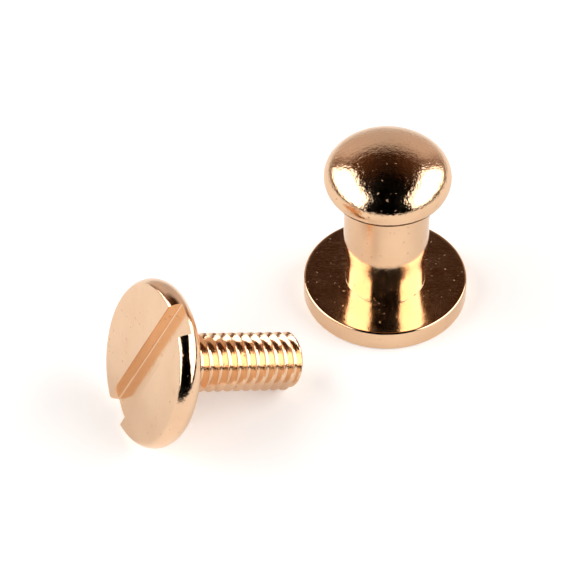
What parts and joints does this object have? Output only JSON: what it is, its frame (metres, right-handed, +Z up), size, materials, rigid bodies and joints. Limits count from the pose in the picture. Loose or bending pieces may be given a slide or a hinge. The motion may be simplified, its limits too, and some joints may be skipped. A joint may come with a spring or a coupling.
{
  "type": "binding barrel screw",
  "caption": "Two-piece binding screw: a domed button barrel on a flange with a blind tapped hole, and its slotted flat-head screw lying unscrewed beside it.",
  "frame": {"origin": "centre of the underside of the barrel's flange, at the mouth of its tapped hole", "axes": "+Z up along the barrel's axis, towards its domed head; +X to the right and +Y away from the viewer who sees the screw lying at front left, so the screw's shank points mostly along +X"},
  "size_m": [0.0242, 0.0227, 0.0131],
  "materials": {
    "barrel_metal": "polished rose-gold plate on brass",
    "screw_metal": "polished rose-gold plate on brass"
  },
  "bodies": {
    "root": {"button_barrel": "barrel_metal", "slotted_screw": "screw_metal"}
  },
  "joints": []
}
